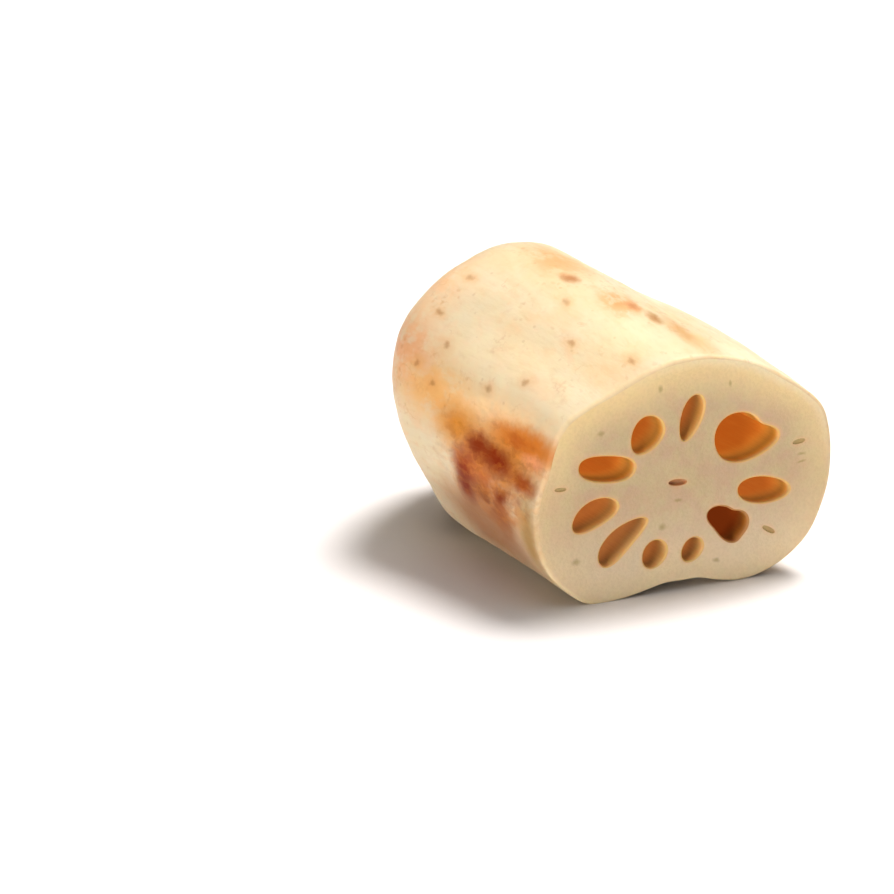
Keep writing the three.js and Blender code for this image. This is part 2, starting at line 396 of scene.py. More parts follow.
# The cut: its edges are halved while they are longer than each of these lengths in turn.
cutFace = {"edges": (9, 5, 3, 1.8, 1.3), "smoothing": 12, "relief": 0.08, "grain": 2.6, "edgeFade": 1.5}


def skinDepth(point):
    y = max(0, point.y - cutPlaneY(point.x))
    middleX, middleZ = sectionMiddle(y)
    across, up = point.x - middleX, point.z - middleZ
    return skinRadius(math.atan2(up, across), y) - math.hypot(across, up)


def canalDistance(point, canal):
    middleX, middleZ = canalMiddle(canal)
    away = Vector((point.x - middleX, point.z - middleZ))
    turned = math.atan2(away.y, away.x) - math.radians(canal["turn"])
    edge = canalOutline(canal, math.atan2(math.sin(turned) * canal["long"], math.cos(turned) * canal["wide"]))
    return away.length - edge.length


def nearestCanal(point):
    return min((canalDistance(point, opening), i) for i, opening in enumerate(openings))


def isFlesh(item):
    return all(face.material_index == fleshSlot for face in item.link_faces)


def fillCut(bm):
    rims = [edge for edge in bm.edges if edge.is_boundary]
    filled = bmesh.ops.triangle_fill(bm, use_beauty=True, edges=rims, normal=(0, -1, 0))
    for item in filled["geom"]:
        if isinstance(item, bmesh.types.BMFace):
            item.material_index = fleshSlot
    for longest in cutFace["edges"]:
        edges = [edge for edge in bm.edges if isFlesh(edge) and edge.calc_length() > longest]
        bmesh.ops.subdivide_edges(bm, edges=edges, cuts=1)
        bmesh.ops.triangulate(bm, faces=[face for face in bm.faces if face.material_index == fleshSlot])
        faces = [face for face in bm.faces if face.material_index == fleshSlot]
        edges = [edge for edge in bm.edges if isFlesh(edge)]
        bmesh.ops.beautify_fill(bm, faces=faces, edges=edges, method="ANGLE")
    inner = [vert for vert in bm.verts if isFlesh(vert)]
    for _ in range(cutFace["smoothing"]):
        bmesh.ops.smooth_vert(bm, verts=inner, factor=0.5, use_axis_x=True, use_axis_y=True, use_axis_z=True)
    for vert in inner:
        fade = smoothStep(min(skinDepth(vert.co), nearestCanal(vert.co)[0]), 0, cutFace["edgeFade"])
        vert.co.y -= cutFace["relief"] * fade * noise.noise(vert.co / cutFace["grain"])


ownOrigin = Vector((root["sideShift"] * mm, cadBox[1].y - root["length"] * mm, 0))  # where the cut is centred


def buildRoot():
    bm = bmesh.new()
    bendLathe(bm, skinProfile(), root["around"], skinPoint, skinSlot)
    for shape, group in ((canalRing, canals), (slitShape, slits)):
        for canal in group:
            bendLathe(bm, canalProfile(canal, shape), shape["around"], canalPlacer(canal, shape), wallSlot)
    print("root: skin and canals turned,", len(bm.faces), "faces")
    fillCut(bm)
    bmesh.ops.recalc_face_normals(bm, faces=bm.faces)
    print("root: cut face filled,", len(bm.faces), "faces")
    measures = {"skinDepth": [], "canalDistance": [], "cutDepth": [], "wallWarmth": [], "stub": []}
    for vert in bm.verts:
        distance, nearest = nearestCanal(vert.co)
        measures["skinDepth"].append(skinDepth(vert.co))
        measures["canalDistance"].append(distance)
        measures["cutDepth"].append(vert.co.y - cutPlaneY(vert.co.x))
        measures["wallWarmth"].append(openings[nearest]["warm"])
        middleX, middleZ = sectionMiddle(vert.co.y)
        across, up = vert.co.x - middleX, vert.co.z - middleZ
        measures["stub"].append(stubShare(math.atan2(up, across), vert.co.y, math.hypot(across, up)))
    bmesh.ops.transform(bm, matrix=Matrix.Translation(ownOrigin) @ Matrix.Scale(mm, 4), verts=bm.verts)
    for face in bm.faces:
        face.smooth = True
    mesh = bpy.data.meshes.new("rootBody")
    bm.to_mesh(mesh)
    bm.free()
    for name, values in measures.items():
        mesh.attributes.new(name, "FLOAT", "POINT").data.foreach_set("value", values)
    body = bpy.data.objects.new("rootBody", mesh)
    bpy.context.scene.collection.objects.link(body)
    return body


rootBody = buildRoot()


# Materials. Shared effects are node groups that read millimetres on the root.
def linear(hexColour):
    parts = [int(hexColour[i:i + 2], 16) / 255 for i in (1, 3, 5)]
    return [part / 12.92 if part < 0.04045 else ((part + 0.055) / 1.055) ** 2.4 for part in parts] + [1]


def feed(tree, socket, value):
    if isinstance(value, bpy.types.NodeSocket):
        tree.links.new(value, socket)
    elif isinstance(value, str):
        socket.default_value = linear(value)
    else:
        socket.default_value = value


def addNode(tree, kind, inputs=None, **settings):
    node = tree.nodes.new("ShaderNode" + kind)
    for name, value in settings.items():
        setattr(node, name, value)
    for name, value in (inputs or {}).items():
        feed(tree, node.inputs[name], value)
    return node


def mixColours(tree, share, low, high):
    node = addNode(tree, "Mix", data_type="RGBA")
    for index, value in ((0, share), (6, low), (7, high)):
        feed(tree, node.inputs[index], value)
    return node.outputs[2]


def tint(tree, colour, share, amount, towards):
    return mixColours(tree, maths(tree, "MULTIPLY", share, amount), colour, towards)


def remap(tree, value, fromLow, fromHigh, toLow=0, toHigh=1):
    inputs = {"Value": value, "From Min": fromLow, "From Max": fromHigh, "To Min": toLow, "To Max": toHigh}
    return addNode(tree, "MapRange", inputs, interpolation_type="SMOOTHSTEP").outputs["Result"]


def maths(tree, operation, first, second=0):
    return addNode(tree, "Math", {0: first, 1: second}, operation=operation).outputs[0]


def startGroup(name, inputs, outputs):
    tree = bpy.data.node_groups.new(name, "ShaderNodeTree")
    for socketName, kind, value in inputs:
        socket = tree.interface.new_socket(socketName, in_out="INPUT", socket_type="NodeSocket" + kind)
        if value is not None:
            socket.default_value = value
    for socketName, kind in outputs:
        tree.interface.new_socket(socketName, in_out="OUTPUT", socket_type="NodeSocket" + kind)
    start = tree.nodes.new("NodeGroupInput").outputs
    end = tree.nodes.new("NodeGroupOutput").inputs
    return tree, start, end


def vectorMaths(tree, operation, first, second):
    inputs = {0: first, "Scale" if operation == "SCALE" else 1: second}
    return addNode(tree, "VectorMath", inputs, operation=operation).outputs[0]


def pointGroup():  # the place in mm in the root's own frame, plain and with its edges ragged
    outputs = [("Point", "Vector"), ("Ragged", "Vector")]
    tree, start, end = startGroup("rootPoint", [("Ragged", "Float", 3.0)], outputs)
    fromOrigin = vectorMaths(tree, "SUBTRACT", addNode(tree, "TexCoord").outputs["Object"], ownOrigin)
    point = vectorMaths(tree, "SCALE", fromOrigin, 1 / mm)
    shift = addNode(tree, "TexNoise", {"Vector": point, "Scale": 0.28, "Detail": 4.0, "Roughness": 0.6})
    centred = vectorMaths(tree, "SUBTRACT", shift.outputs["Color"], (0.5, 0.5, 0.5))
    feed(tree, end["Point"], point)
    ragged = vectorMaths(tree, "SCALE", centred, start["Ragged"])
    feed(tree, end["Ragged"], vectorMaths(tree, "ADD", point, ragged))
    return tree


def mottleGroup():  # soft patches: their size in mm, how many times longer they are along the root
    inputs = [("Point", "Vector", None), ("Size", "Float", 5.0), ("Longer", "Float", 1.0),
              ("Seed", "Float", 0.0), ("Low", "Float", 0.4), ("High", "Float", 0.6)]
    tree, start, end = startGroup("mottle", inputs, [("Mask", "Float")])
    along = maths(tree, "MULTIPLY", start["Size"], start["Longer"])
    size = addNode(tree, "CombineXYZ", {"X": start["Size"], "Y": along, "Z": start["Size"]}).outputs[0]
    moved = vectorMaths(tree, "ADD", vectorMaths(tree, "DIVIDE", start["Point"], size), start["Seed"])
    pattern = addNode(tree, "TexNoise", {"Vector": moved, "Scale": 1.0, "Detail": 3.0, "Roughness": 0.55})
    feed(tree, end["Mask"], remap(tree, pattern.outputs[0], start["Low"], start["High"]))
    return tree


def markGroup():  # one mark of a given place and size, with a soft edge
    inputs = [("Point", "Vector", None), ("Place", "Vector", None), ("Size", "Vector", (5.0, 5.0, 5.0)),
              ("Soft", "Float", 0.5)]
    tree, start, end = startGroup("mark", inputs, [("Mask", "Float")])
    away = vectorMaths(tree, "SUBTRACT", start["Point"], start["Place"])
    share = vectorMaths(tree, "DIVIDE", away, start["Size"])
    length = addNode(tree, "VectorMath", {0: share}, operation="LENGTH").outputs["Value"]
    inside = maths(tree, "SUBTRACT", 1.0, start["Soft"])
    outside = 1.15  # the soft edge ends a little past the mark's size
    feed(tree, end["Mask"], remap(tree, length, inside, outside, 1.0, 0.0))
    return tree


def specksGroup():  # scattered small dots of uneven size
    inputs = [("Point", "Vector", None), ("Spacing", "Float", 5.0), ("Size", "Float", 0.1),
              ("Seed", "Float", 0.0)]
    tree, start, end = startGroup("specks", inputs, [("Mask", "Float")])
    spaced = vectorMaths(tree, "DIVIDE", start["Point"], start["Spacing"])
    moved = vectorMaths(tree, "ADD", spaced, start["Seed"])
    cells = addNode(tree, "TexVoronoi", {"Vector": moved, "Scale": 1.0}, feature="F1")
    outer = maths(tree, "MULTIPLY", start["Size"], 1.5)
    inner = maths(tree, "MULTIPLY", start["Size"], 0.5)
    feed(tree, end["Mask"], remap(tree, cells.outputs["Distance"], inner, outer, 1.0, 0.0))
    return tree


def threadsGroup():  # thin wandering lines: the size of their bends in mm, and their width as a share of it
    inputs = [("Point", "Vector", None), ("Size", "Float", 6.0), ("Width", "Float", 0.02),
              ("Seed", "Float", 0.0)]
    tree, start, end = startGroup("threads", inputs, [("Mask", "Float")])
    scaled = vectorMaths(tree, "DIVIDE", start["Point"], start["Size"])
    moved = vectorMaths(tree, "ADD", scaled, start["Seed"])
    pattern = addNode(tree, "TexNoise", {"Vector": moved, "Scale": 1.0, "Detail": 3.0, "Roughness": 0.6})
    away = maths(tree, "ABSOLUTE", maths(tree, "SUBTRACT", pattern.outputs[0], 0.5))
    feed(tree, end["Mask"], remap(tree, away, 0.0, start["Width"], 1.0, 0.0))
    return tree


groups = {
    "rootPoint": pointGroup(),
    "mottle": mottleGroup(),
    "mark": markGroup(),
    "specks": specksGroup(),
    "threads": threadsGroup(),
}


def useGroup(tree, name, **inputs):
    node = tree.nodes.new("ShaderNodeGroup")
    node.node_tree = groups[name]
    for socket, value in inputs.items():
        feed(tree, node.inputs[socket], value)
    return node.outputs


def mask(tree, name, point, **inputs):
    return useGroup(tree, name, Point=point, **inputs)["Mask"]


def attribute(tree, name):
    return addNode(tree, "Attribute", attribute_name=name).outputs["Fac"]


moistSurface = {"ior": 1.4, "shine": 0.2}  # the same for skin, flesh, walls and scar


def newMaterial(name, finish):
    material = bpy.data.materials.new(name)
    material.use_nodes = True
    shader = material.node_tree.nodes["Principled BSDF"]
    scatter = finish["scatter"]
    shader.inputs["IOR"].default_value = moistSurface["ior"]
    shader.inputs["Specular IOR Level"].default_value = moistSurface["shine"]
    shader.inputs["Subsurface Weight"].default_value = scatter["weight"]
    shader.inputs["Subsurface Radius"].default_value = scatter["radius"]
    shader.inputs["Subsurface Scale"].default_value = scatter["scale"] * mm
    return material, material.node_tree, shader


def addBump(tree, shader, height, bump):
    inputs = {"Height": height, "Strength": bump["strength"], "Distance": bump["distance"] * mm}
    feed(tree, shader.inputs["Normal"], addNode(tree, "Bump", inputs).outputs[0])


def mottle(tree, point, pattern, **more):
    return mask(tree, "mottle", point, **pattern, **more)


# Skin: smooth cream with peach blushes, one dark stain in the hollow of the left flank, small dots, and a few
# marks of painted light and shade.
# Places and sizes of the marks are in mm in the root's own frame.
skinFinish = {
    "cream": "#dacbae",
    "yellow": "#dac6a2",
    "pale": "#e2d4b8",
    "peach": "#e6b48a",
    "tan": "#c49c68",
    "speck": "#945a1e",
    "halo": "#d69a5c",
    "freckle": "#b87c48",
    "stub": "#a06c40",
    "crust": "#8a4210",
    "rust": "#e29a44",
    "rim": "#eedab4",
    "rimDepths": (0.1, 1.1),  # from the cut: full, then none
    "ragged": 3.0,  # how far the edges of its marks wander
    "roughness": (0.4, 0.55),
    "bump": {"strength": 0.15, "distance": 0.12},
    "scatter": {"weight": 0.25, "radius": (1.0, 0.5, 0.22), "scale": 2.0},
}
# Its patterns: size, how many times longer they are along the root, and the noise values from none to full.
skinPatterns = {
    "broad": {"Size": 16.0, "Longer": 1.6, "Low": 0.35, "High": 0.65},
    "clouds": {"Size": 10.0, "Longer": 1.4, "Seed": 3.0, "Low": 0.45, "High": 0.75},
    "wideBlush": {"Size": 9.0, "Longer": 1.5, "Seed": 8.0, "Low": 0.48, "High": 0.8},
    "smallBlush": {"Size": 3.2, "Longer": 1.5, "Seed": 17.0, "Low": 0.48, "High": 0.8},
    "broken": {"Longer": 1.4, "Low": 0.3, "High": 0.62},
    "rust": {"Size": 2.2, "Longer": 2.0, "Seed": 31.0, "Low": 0.42, "High": 0.72},
    "crust": {"Size": 1.7, "Longer": 2.0, "Seed": 33.0, "Low": 0.42, "High": 0.72},
    "clusters": {"Size": 9.0, "Longer": 1.6, "Seed": 40.0, "Low": 0.48, "High": 0.68},
    "freckles": {"Spacing": 2.4, "Size": 0.22, "Seed": 3.0},
    "patches": {"Size": 5.0, "Longer": 1.6, "Seed": 50.0, "Low": 0.5, "High": 0.7},
    "threads": {"Size": 7.0, "Width": 0.026, "Seed": 9.0},
    "grain": {"Size": 1.6, "Longer": 2.5, "Seed": 5.0, "Low": 0.5, "High": 0.8},
    "fibres": {"Size": 1.3, "Longer": 14.0, "Seed": 14.0, "Low": 0.45, "High": 0.75},
    "specks": {"Spacing": 4.5, "Size": 0.08},
    "fine": {"Size": 0.9, "Longer": 3.0, "Seed": 11.0, "Low": 0.2, "High": 0.8},
}
skinShares = {  # how strongly each of them tints the skin
    "rim": 0.6,
    "clouds": 0.6,
    "wideBlush": 0.35,
    "smallBlush": 0.3,
    "betweenBroken": 0.35,  # what stays of a broken blush between its patches
    "rust": 0.35,
    "crust": 0.35,
    "freckles": 0.22,
    "threads": 0.2,
    "grain": 0.12,
    "fibres": 0.1,
    "specks": 0.14,
    "stub": 0.8,
}
# Blushes and stains, and a few marks of painted light and shade: middle, half widths, how much of the half
# width is soft edge, and for a broken one the size of its patches.
skinBlushesAndPaintedLight = [
    # painted highlight: the upper left flank made paler
    {"at": (-30, 32, 50), "size": (13, 30, 10), "soft": 0.95, "colour": "#f2e0be", "share": 0.6},
    {"at": (-37, 60, 47), "size": (10, 17, 15), "soft": 0.95,
     "colour": "#e0a070", "share": 0.75, "broken": 3.5},
    {"at": (-24, 62, 60), "size": (15, 14, 10), "soft": 0.95,
     "colour": "#e8b688", "share": 0.6, "broken": 3.5},
    {"at": (-37, 45, 40), "size": (9, 18, 9), "soft": 0.95,
     "colour": "#e4ae68", "share": 0.85, "broken": 3.5},
    {"at": (-34, 24, 41), "size": (9, 27, 6), "soft": 0.95, "colour": "#fcd6a4", "share": 0.65, "broken": 6},
    # brown tint and painted shade on the lower left flank
    {"at": (-33, 30, 12), "size": (12, 24, 13), "soft": 0.7, "colour": "#a87450", "share": 0.85},
    {"at": (-36, 22, 23), "size": (9, 16, 10), "soft": 0.8, "colour": "#b87640", "share": 0.85, "broken": 4},
    {"at": (-35.6, 21, 18), "size": (6, 7, 8), "soft": 0.95, "colour": "#9c5a30", "share": 0.7},
    {"at": (-35.5, 9.5, 17), "size": (6, 4.5, 15), "soft": 0.85, "colour": "#a8864c", "share": 0.8},
    {"at": (-5, 46, 66), "size": (8, 13, 5), "soft": 0.9, "colour": "#e8a874", "share": 0.75, "broken": 4},
    {"at": (-3, 23, 62), "size": (5.5, 9, 3.8), "soft": 0.9,
     "colour": "#dc9a60", "share": 0.85, "broken": 2.5},
    {"at": (-10, 12, 58), "size": (9, 14, 5), "soft": 0.95, "colour": "#dcc8a0", "share": 0.6},
    {"at": (8, 6, 56.5), "size": (5, 10, 3.5), "soft": 0.95, "colour": "#dab888", "share": 0.65},
    {"at": (5, 10.5, 57.7), "size": (3.4, 10, 3.4), "soft": 0.9, "colour": "#c8965c", "share": 0.65},
    # painted highlight: the ridge on the right made paler
    {"at": (15, 0, 51), "size": (7, 16, 6), "soft": 0.95, "colour": "#f0e2c4", "share": 0.7},
    # painted shade: the lit right side made darker
    {"at": (44, 44, 34), "size": (22, 60, 34), "soft": 0.9, "colour": "#ccb48a", "share": 0.7},
    {"at": (37, 26, 28), "size": (10, 24, 9), "soft": 0.95, "colour": "#e8b880", "share": 0.55, "broken": 5},
    {"at": (32, 60, 20), "size": (12, 15, 12), "soft": 0.95, "colour": "#dca874", "share": 0.55, "broken": 4},
    {"at": (22, 70, 54), "size": (13, 11, 9), "soft": 0.95, "colour": "#e6b484", "share": 0.5, "broken": 4},
    {"at": (0, 85, 32), "size": (25, 9, 25), "soft": 0.9, "colour": "#c09060", "share": 0.6, "broken": 3},
]
skinStains = [
    {"at": (-36, 38, 34.5), "size": (7, 10, 7), "soft": 0.9, "colour": "#d6923a", "share": 0.95},
    {"at": (-35, 20, 34), "size": (8, 19, 9), "soft": 0.8, "colour": "#d69240", "share": 0.9},
    {"at": (-33, 14, 37), "size": (6, 15, 4.6), "soft": 0.7, "colour": "#d07e22", "share": 0.95},
    {"at": (-33.2, 17, 36.6), "size": (5, 7, 2.4), "soft": 0.9, "colour": "#b86210", "share": 0.8},
    {"at": (-36, 29, 27), "size": (7, 10, 7), "soft": 0.8, "colour": "#c07034", "share": 0.9},
    {"at": (-35.4, 30.4, 32.4), "size": (6, 5.6, 3.8), "soft": 0.85, "colour": "#903402", "share": 0.95},
    {"at": (-35.2, 26, 31.6), "size": (6, 6, 3.4), "soft": 0.9, "colour": "#963a04", "share": 0.95},
    {"at": (-35, 21.4, 30.5), "size": (6, 6, 3.8), "soft": 0.9, "colour": "#902e04", "share": 0.95},
    {"at": (-36.3, 34.5, 26.5), "size": (7, 6, 6), "soft": 0.9, "colour": "#9c3c06", "share": 0.95},
    {"at": (-36, 34.5, 21.5), "size": (7, 5.5, 6), "soft": 0.9, "colour": "#843010", "share": 0.95},
    {"at": (-36, 27.5, 21.8), "size": (5, 5.5, 3.6), "soft": 0.95, "colour": "#8a4818", "share": 0.8},
    {"at": (-33.3, 10.8, 33.4), "size": (4, 6, 2.4), "soft": 0.9, "colour": "#e6a276", "share": 0.8},
    {"at": (-35, 12.6, 28.6), "size": (5, 7, 3), "soft": 0.8, "colour": "#a85008", "share": 0.95},
    {"at": (-36.1, 19.6, 23.4), "size": (4, 2.8, 3), "soft": 0.9, "colour": "#8a3c08", "share": 0.95},
    {"at": (37, 15, 22), "size": (5, 6, 2.6), "soft": 0.9, "colour": "#c08450", "share": 0.7},
    {"at": (36, 52, 40), "size": (5, 4, 2.2), "soft": 0.9, "colour": "#b87c48", "share": 0.7},
    {"at": (-7.5, 35.6, 65.2), "size": (2.6, 3.8, 2), "soft": 0.95, "colour": "#b07440", "share": 0.8},
    {"at": (-0.3, 20.4, 61.4), "size": (2, 3.4, 1.8), "soft": 0.95, "colour": "#c08450", "share": 0.8},
    {"at": (1.8, 15.4, 59.8), "size": (2, 4, 1.8), "soft": 0.95, "colour": "#a87438", "share": 0.8},
]
stainArea = {"at": (-35, 24, 28), "size": (10, 25, 14), "soft": 0.6}
skinDots = [
    (-10.5, 6.4, 55), (-28.8, 20.5, 49), (-13.6, 28.5, 62.4), (-30.6, 54.1, 55.9), (-22.3, 54.4, 62.5),
    (-36.8, 53.5, 44.9), (-33, 47.3, 50.4), (-32.9, 30, 45), (-36.5, 48, 41.7), (-18.2, 19, 56.6),
    (37.5, 34, 36), (33, 22, 45), (27, 52, 52), (38, 46, 24), (20, 78, 46), (-20, 78, 22),
]
dotRings = {"halo": {"size": 2.8, "share": 0.3}, "speck": {"size": 1.1, "share": 0.42}}
dotLonger, dotSoft = 1.3, 0.95  # along the root, and the share of a ring that is soft edge


def skinMaterial():
    material, tree, shader = newMaterial("rootSkin", skinFinish)
    points = useGroup(tree, "rootPoint", Ragged=skinFinish["ragged"])
    point, ragged = points["Point"], points["Ragged"]
    broad = mottle(tree, point, skinPatterns["broad"])
    colour = mixColours(tree, broad, skinFinish["cream"], skinFinish["yellow"])
    for name, towards in (("clouds", "pale"), ("wideBlush", "peach"), ("smallBlush", "peach")):
        patches = mottle(tree, ragged, skinPatterns[name])
        colour = tint(tree, colour, patches, skinShares[name], skinFinish[towards])
    atCut = remap(tree, attribute(tree, "cutDepth"), *skinFinish["rimDepths"], skinShares["rim"], 0.0)
    colour = mixColours(tree, atCut, colour, skinFinish["rim"])
    for i, mark in enumerate(skinBlushesAndPaintedLight + skinStains):
        share = mask(tree, "mark", ragged, Place=mark["at"], Size=mark["size"], Soft=mark["soft"])
        if "broken" in mark:
            patches = mottle(tree, point, skinPatterns["broken"], Size=float(mark["broken"]), Seed=20.0 + i)
            kept = remap(tree, patches, 0.0, 1.0, skinShares["betweenBroken"], 1.0)
            share = maths(tree, "MULTIPLY", share, kept)
        colour = tint(tree, colour, share, mark["share"], mark["colour"])
    area = {"Place": stainArea["at"], "Size": stainArea["size"], "Soft": stainArea["soft"]}
    stained = mask(tree, "mark", ragged, **area)
    for name in ("rust", "crust"):
        flakes = maths(tree, "MULTIPLY", stained, mottle(tree, ragged, skinPatterns[name]))
        colour = tint(tree, colour, flakes, skinShares[name], skinFinish[name])
    for dot in skinDots:
        for name, ring in dotRings.items():
            size = ring["size"]
            sides = (size, size * dotLonger, size)
            share = mask(tree, "mark", ragged, Place=dot, Size=sides, Soft=dotSoft)
            colour = tint(tree, colour, share, ring["share"], skinFinish[name])
    clusters = mottle(tree, point, skinPatterns["clusters"])
    freckles = mask(tree, "specks", ragged, **skinPatterns["freckles"])
    freckled = maths(tree, "MULTIPLY", clusters, freckles)
    colour = tint(tree, colour, freckled, skinShares["freckles"], skinFinish["freckle"])
    patches = mottle(tree, point, skinPatterns["patches"])
    threaded = maths(tree, "MULTIPLY", patches, mask(tree, "threads", point, **skinPatterns["threads"]))
    colour = tint(tree, colour, threaded, skinShares["threads"], skinFinish["freckle"])
    grain = mottle(tree, ragged, skinPatterns["grain"])
    fibres = maths(tree, "MULTIPLY", mottle(tree, point, skinPatterns["fibres"]), skinShares["fibres"])
    tan = maths(tree, "ADD", maths(tree, "MULTIPLY", grain, skinShares["grain"]), fibres)
    colour = mixColours(tree, tan, colour, skinFinish["tan"])
    specks = mask(tree, "specks", point, **skinPatterns["specks"])
    colour = tint(tree, colour, specks, skinShares["specks"], skinFinish["speck"])
    colour = tint(tree, colour, attribute(tree, "stub"), skinShares["stub"], skinFinish["stub"])
    feed(tree, shader.inputs["Base Color"], colour)
    feed(tree, shader.inputs["Roughness"], remap(tree, grain, 0.0, 1.0, *skinFinish["roughness"]))
    fine = mottle(tree, point, skinPatterns["fine"])
    addBump(tree, shader, maths(tree, "ADD", fine, specks), skinFinish["bump"])
    return material


# Cut flesh: pinkish beige in the middle, golden towards the skin, faint vessels; lighter low down as painted
# light, and a painted highlight along the top and right of the rim.
fleshFinish = {
    "beige": "#cfbd9a",
    "pink": "#ceb498",
    "golden": "#efd8a8",
    "goldenLow": 0.35,  # how golden it is low down
    # painted highlight along the top and right of the cut's rim
    "rim": "#efe6ce",
    "rimHighlightShare": 0.75,
    # painted light: the flesh made lighter low down, against the shade there
    "low": "#e0ceb4",
    "canalEdge": "#e6b890",
    "canalEdgeShare": 0.35,
    "vessel": "#a08c58",
    "vesselShare": 0.55,
    "vesselSoft": 0.9,
    "grainShare": 0.08,
    "ragged": 1.6,
    "roughness": (0.45, 0.6),
    "bump": {"strength": 0.25, "distance": 0.08},
    "scatter": {"weight": 0.35, "radius": (1.0, 0.5, 0.22), "scale": 2.5},
}
# How far its tints reach in mm: up and across the cut, in from the skin, and out from a canal.
fleshReach = {
    "paintedLightUp": (2.0, 26.0),
    "goldenUp": (18.0, 48.0),
    "goldenIn": 13.0,
    "rimUp": (20.0, 45.0),
    "rimAcross": (-25.0, 15.0),
    "rimIn": 3.5,
    "canalOut": 1.4,
}
fleshPatterns = {
    "patches": {"Size": 5.0, "Seed": 2.0, "Low": 0.35, "High": 0.65},
    "grain": {"Size": 0.7, "Seed": 4.0, "Low": 0.35, "High": 0.7},
}
# Faint marks of vessels in the cut: distance and bearing from the middle of the ring, half widths.
fleshMarks = [
    {"out": 22.8, "at": 291, "size": (1.0, 2.0, 0.9)},
    {"out": 24.5, "at": 147, "size": (1.1, 2.0, 0.9)},
    {"out": 22.8, "at": 107, "size": (0.7, 2.0, 1.1)},
    {"out": 5.4, "at": 253, "size": (1.2, 2.0, 0.7)},
    {"out": 28.7, "at": 359, "size": (1.5, 2.0, 0.5)},
    {"out": 28.7, "at": 3, "size": (1.3, 2.0, 0.45)},
    {"out": 30.7, "at": 212, "size": (1.3, 2.0, 1.0)},
    {"out": 23.3, "at": 63, "size": (0.6, 2.0, 0.9)},
    {"out": 12.3, "at": 245, "size": (1.4, 2.0, 1.2)},
]


def fleshMaterial():
    material, tree, shader = newMaterial("cutFlesh", fleshFinish)
    points = useGroup(tree, "rootPoint", Ragged=fleshFinish["ragged"])
    point, ragged = points["Point"], points["Ragged"]
    patches = mottle(tree, ragged, fleshPatterns["patches"])
    colour = mixColours(tree, patches, fleshFinish["beige"], fleshFinish["pink"])
    parts = addNode(tree, "SeparateXYZ", {0: point}).outputs
    across, height = parts["X"], parts["Z"]
    # painted light: lighter towards the bottom of the cut
    paintedLightLowDown = remap(tree, height, *fleshReach["paintedLightUp"], 1.0, 0.0)
    colour = mixColours(tree, paintedLightLowDown, colour, fleshFinish["low"])
    fromSkin = attribute(tree, "skinDepth")
    nearSkin = remap(tree, fromSkin, 0.0, fleshReach["goldenIn"], 1.0, 0.0)
    highUp = remap(tree, height, *fleshReach["goldenUp"], fleshFinish["goldenLow"], 1.0)
    colour = tint(tree, colour, nearSkin, highUp, fleshFinish["golden"])
    # painted highlight along the top and right of the rim
    atRim = remap(tree, fromSkin, 0.0, fleshReach["rimIn"], fleshFinish["rimHighlightShare"], 0.0)
    rimHigh = remap(tree, height, *fleshReach["rimUp"])
    rimHighlight = maths(tree, "MULTIPLY", rimHigh, remap(tree, across, *fleshReach["rimAcross"]))
    colour = tint(tree, colour, atRim, rimHighlight, fleshFinish["rim"])
    nearCanal = remap(tree, attribute(tree, "canalDistance"), 0.0, fleshReach["canalOut"], 1.0, 0.0)
    colour = tint(tree, colour, nearCanal, fleshFinish["canalEdgeShare"], fleshFinish["canalEdge"])
    for mark in fleshMarks:
        middleX, middleZ = canalMiddle(mark)
        spot = (middleX, cutPlaneY(middleX), middleZ)
        share = mask(tree, "mark", ragged, Place=spot, Size=mark["size"], Soft=fleshFinish["vesselSoft"])
        colour = tint(tree, colour, share, fleshFinish["vesselShare"], fleshFinish["vessel"])
    grain = mottle(tree, point, fleshPatterns["grain"])
    colour = tint(tree, colour, grain, fleshFinish["grainShare"], fleshFinish["vessel"])
    feed(tree, shader.inputs["Base Color"], colour)
    feed(tree, shader.inputs["Roughness"], remap(tree, grain, 0.0, 1.0, *fleshFinish["roughness"]))
    addBump(tree, shader, grain, fleshFinish["bump"])
    return material


# Walls of the canals: golden at the mouth, deep orange to brown inside, partly their own colour and partly
# painted shade deeper in, and a painted glow that stands in for light through the flesh.
wallFinish = {
    "mouth": "#dab880",
    "golden": "#e2a850",
    "orange": "#cc7a2c",
    "brown": "#c08a58",
    "red": "#944818",  # the deepest red-brown canal
    "redAtMouth": 0.5,
    "olive": "#c2a878",
    "umber": "#c4946c",  # the slit in the middle
    "streaks": {"Size": 0.8, "Longer": 9.0, "Seed": 6.0, "Low": 0.35, "High": 0.7},
    "streakShare": 0.1,
    "paleSooner": 1.4,  # the paler canals are narrow and turn to their darker inner colour sooner, partly as painted shade, by so many times the depth
    # black: the colour of the painted shade, and of no painted glow at the mouth
    "black": "#000000",
    "paintedShade": 0.5,  # painted shade: how much the wall's colour is darkened inside, where the painted glow takes over
    "paintedGlow": 0.55,  # painted glow: emission that stands in for light coming through the flesh from behind
    "roughness": 0.45,
    "bump": {"strength": 0.3, "distance": 0.1},
    "scatter": {"weight": 0.4, "radius": (1.0, 0.4, 0.12), "scale": 3.0},
}
# Between which depths from the cut each change of colour takes place.
wallDepths = {
    "outer": (0.0, 1.6),
    "inner": (0.8, 9.0),
    "red": (0.0, 5.0),
    "paintedShade": (0.2, 3.0),
    "paintedGlow": (0.3, 7.0),
}


